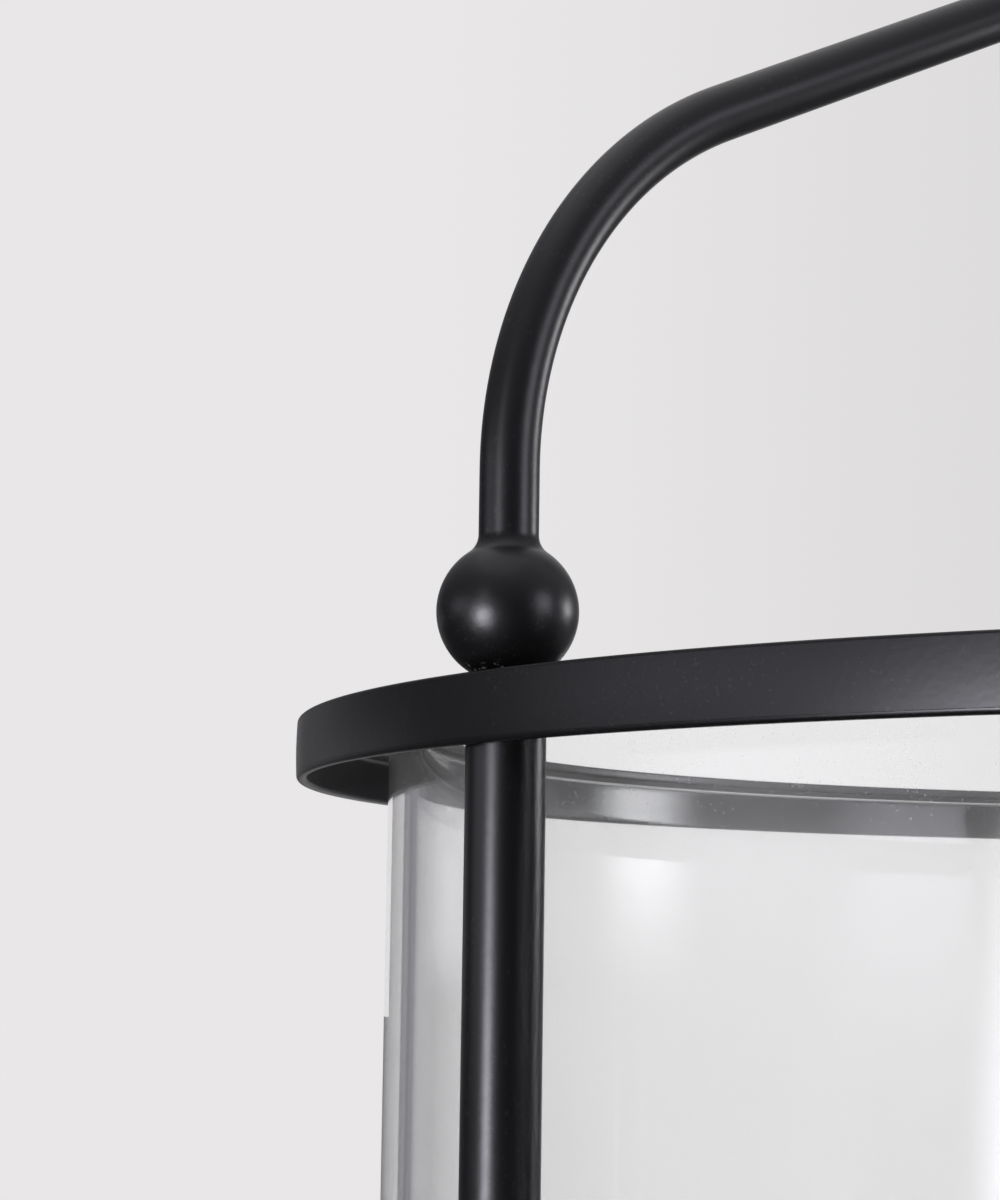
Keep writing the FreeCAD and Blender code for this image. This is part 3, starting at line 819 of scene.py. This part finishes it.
floorRings = np.array(stageLook["floorRings"])
floorGrid = spun(np.stack([floorRings, 0 * floorRings], axis=1), stageLook["floorSides"])
floorPoints, floorQuads, floorFans = skin(floorGrid, False)
floorFaces = floorQuads.tolist() + floorFans[:stageLook["floorSides"]].tolist()
stageObject("floor", floorPoints.tolist(), floorFaces, floorFinish())

# Camera, fitted to the band, ball, post and arm of the photograph
cameraPlace = {"location": (0.271232, -0.315536, 0.287416), "forward": (-0.83999861, 0.52863812, 0.12224593),
               "roll": 0.8145, "lens": 86.719, "sensor": 36.0, "near": 0.01}
forward = Vector(cameraPlace["forward"]).normalized()
level = forward.cross(Vector((0, 0, 1))).normalized()
upright = level.cross(forward)
roll = math.radians(cameraPlace["roll"])
cameraRight = math.cos(roll) * level + math.sin(roll) * upright
cameraUp = math.cos(roll) * upright - math.sin(roll) * level
cameraData = bpy.data.cameras.new("camera")
cameraData.lens = cameraPlace["lens"]
cameraData.sensor_width = cameraPlace["sensor"]
cameraData.clip_start = cameraPlace["near"]
camera = bpy.data.objects.new("camera", cameraData)
axes = Matrix((cameraRight, cameraUp, -forward)).transposed()
camera.matrix_world = Matrix.Translation(cameraPlace["location"]) @ axes.to_4x4()
scene.collection.objects.link(camera)
scene.camera = camera

# Light: world for fill, and soft boxes placed by how far they stand round from the camera, seen from the ball
ballLift = 0.0072
ballCentre = Vector((*atPost(0), ballLow.z + ballLift))
towardsCamera = Vector(cameraPlace["location"]) - ballCentre
cameraBearing = math.atan2(towardsCamera.y, towardsCamera.x)


# Unit direction, turned to the right of the camera and raised, both in degrees
def direction(turn, rise=0.0):
    bearing = cameraBearing + math.radians(turn)
    lift = math.radians(rise)
    return Vector((math.cos(lift) * math.cos(bearing), math.cos(lift) * math.sin(bearing), math.sin(lift)))


# Radiance is what a box shows in a mirror, and it fades out over the soft share of each half
lightBoxes = {
    "key": {"turn": -41.0, "rise": -12.0, "distance": 0.75, "width": 0.39, "height": 0.42,
            "radiance": 27.0, "soft": 0.85, "lightsMatt": False, "shade": (0.975, 0.97, 1.0, 1)},
    "leftGlow": {"turn": -80.0, "rise": 6.0, "distance": 1.15, "width": 1.3, "height": 0.5,
                 "radiance": 1.45, "soft": 0.9, "lightsMatt": True, "shade": (0.93, 0.91, 1.0, 1)},
    "keyTail": {"turn": -41.0, "rise": 14.0, "distance": 0.8, "width": 0.21, "height": 0.55,
                "radiance": 2.4, "soft": 0.9, "lightsMatt": True, "shade": (0.975, 0.97, 1.0, 1)},
    "leftBack": {"turn": -152.0, "rise": 1.0, "distance": 1.2, "width": 0.26, "height": 0.8,
                 "radiance": 0.17, "soft": 0.6, "lightsMatt": True, "shade": (0.93, 0.91, 1.0, 1)},
    "leftLow": {"turn": -137.0, "rise": 0.0, "distance": 1.2, "width": 0.55, "height": 0.13,
                "radiance": 0.48, "soft": 0.6, "lightsMatt": True, "shade": (0.95, 0.94, 1.0, 1)},
    "strip": {"turn": 111.0, "rise": 5.5, "distance": 0.69, "width": 0.27, "height": 0.25,
              "radiance": 15.5, "soft": 1.0, "lightsMatt": False, "shade": (1.0, 0.99, 1.0, 1)},
    "side": {"turn": 60.0, "rise": 9.0, "distance": 1.0, "width": 0.62, "height": 0.62,
             "radiance": 4.4, "soft": 0.8, "lightsMatt": True, "shade": (0.95, 0.94, 1.0, 1)},
}
black = (0, 0, 0, 1)


# 1 on paths that go straight through the glass, where only the backdrop shows
def straight(board):
    through = board.path("Is Transmission Ray") * (board.path("Glossy Depth") < 0.5)
    return through * (board.path("Diffuse Depth") < 0.5)


# 1 on those paths, and on those that left a matt surface, so that neither the walls nor the strong boxes light it
def hidden(board):
    return (straight(board) + (board.path("Diffuse Depth") > 0.5)).least(1.0)


def glowFinish(name, box):
    material, board = newFinish(name + "_glow")
    place = board.place()
    fades = []
    for letter, length in (("X", box["width"]), ("Y", box["height"])):
        off = board.node("ShaderNodeMath", {"operation": "ABSOLUTE"}, {0: board.axis(place, letter) * (2 / length)})
        fades.append(board.rise(off, 1.0, 1.0 - box["soft"]))
    unseen = straight if box["lightsMatt"] else hidden
    share = fades[0] * fades[1] * (1.0 - unseen(board))
    glow = board.glow(board.blend(share, black, box["shade"]), box["radiance"])
    clear = board.node("ShaderNodeBsdfTransparent")
    closeFinish(board, board.node("ShaderNodeAddShader", values={0: glow, 1: clear}))
    return material


# Sheet that lights the set, but that the camera and shadows don't see
def lightSheet(name, points, faces, finish, lightsMatt):
    sheet = stageObject(name, points, faces, finish)
    sheet.visible_camera = False
    sheet.visible_shadow = False
    sheet.visible_diffuse = lightsMatt
    return sheet


for name, box in lightBoxes.items():
    x, y = box["width"] / 2, box["height"] / 2
    corners = [(-x, -y, 0), (x, -y, 0), (x, y, 0), (-x, y, 0)]
    sheet = lightSheet(name, corners, [(3, 2, 1, 0)], glowFinish(name, box), box["lightsMatt"])
    spot = ballCentre + box["distance"] * direction(box["turn"], box["rise"])
    aim = (ballCentre - spot).to_track_quat("-Z", "Y")
    sheet.matrix_world = Matrix.Translation(spot) @ aim.to_matrix().to_4x4()

# Dim studio walls round the set, open above, which only reflections see. Behind the lantern a gap shows the backdrop
# above a sill, and what leaves the glass sees a wider gap with no sill. The walls stand higher on the right, and are
# paler high up and towards the back.
wallLook = {"radius": 1.4, "inner": 0.165, "foot": 0.004, "top": 2.2, "climb": 2.2, "gap": 19.0, "glassGap": 25.0,
            "sill": 0.25, "columns": 97, "shade": (0.94, 0.92, 1.0, 1), "low": 0.045, "high": 0.45, "highFrom": 0.3,
            "back": 0.12, "backTurn": 150.0, "backRise": (0.15, 1.0)}


# Rows (r, z) turned from start to end, with the last row lifted on the right by climb sin(turn)
def wallGrid(start, end, rows, climb):
    rows = np.array(rows)
    turn = np.radians(np.linspace(start, end, wallLook["columns"]))
    bearing = turn + cameraBearing
    grid = np.stack([rows[:, :1] * np.cos(bearing), rows[:, :1] * np.sin(bearing), rows[:, 1:] + 0 * turn], axis=-1)
    grid[-1, :, 2] += climb * np.clip(np.sin(turn), 0, 1)
    return grid


def wallFinish():
    material, board = newFinish("dim_wall")
    place = board.place()
    towardsBack = board.rise(board.along(place, direction(wallLook["backTurn"])), *wallLook["backRise"])
    upwards = board.rise(board.axis(place, "Z"), wallLook["highFrom"], wallLook["top"])
    tone = wallLook["low"] + wallLook["back"] * towardsBack + (wallLook["high"] - wallLook["low"]) * upwards
    grey = board.glow(board.blend(tone, black, wallLook["shade"]))
    gapEdge = wallLook["radius"] * math.cos(math.radians(wallLook["glassGap"]))
    opened = board.path("Is Transmission Ray") * (board.along(place, direction(180.0)) > gapEdge)
    share = (hidden(board) + opened).least(1.0)
    closeFinish(board, board.mixed(share, grey, board.node("ShaderNodeBsdfTransparent")))
    return material


def studioWalls():
    radius, foot, gap = wallLook["radius"], wallLook["foot"], wallLook["gap"]
    high = wallGrid(gap - 180, 180 - gap, [(wallLook["inner"], foot), (radius, foot), (radius, wallLook["top"])],
                    wallLook["climb"])
    low = wallGrid(180 - gap, 180 + gap, [(radius, foot), (radius, wallLook["sill"])], 0.0)
    points, faces = [], []
    for grid in (high, low):
        index = len(points) + np.arange(grid.shape[0] * grid.shape[1]).reshape(grid.shape[:2])
        quads = np.stack([index[:-1, :-1], index[:-1, 1:], index[1:, 1:], index[1:, :-1]], axis=-1)
        points += grid.reshape(-1, 3).tolist()
        faces += quads.reshape(-1, 4).tolist()
    lightSheet("studio_walls", points, faces, wallFinish(), False)


studioWalls()


# World: the backdrop for rays that are seen, a little stronger behind glass, and a plain white fill for the rest
def worldLight():
    world = bpy.data.worlds.new("studio")
    world.use_nodes = True
    scene.world = world
    board = Board(world.node_tree)
    across = board.along(board.node("ShaderNodeTexCoord", output="Generated"), level)
    tone = board.blend(board.rise(across, *stageLook["leftToRight"]), stageLook["left"], stageLook["right"])
    skies = [board.node("ShaderNodeBackground", values={"Color": shade, "Strength": strength}) for shade, strength in (
        (tone, 1.0), (tone, stageLook["throughGlass"]), (stageLook["fill"], stageLook["fillStrength"]))]
    backdrop = board.mixed(board.path("Is Transmission Ray"), skies[0], skies[1])
    board.node("ShaderNodeOutputWorld", values={"Surface": board.mixed(seen(board), skies[2], backdrop)})


worldLight()
print("stage, camera and light set")
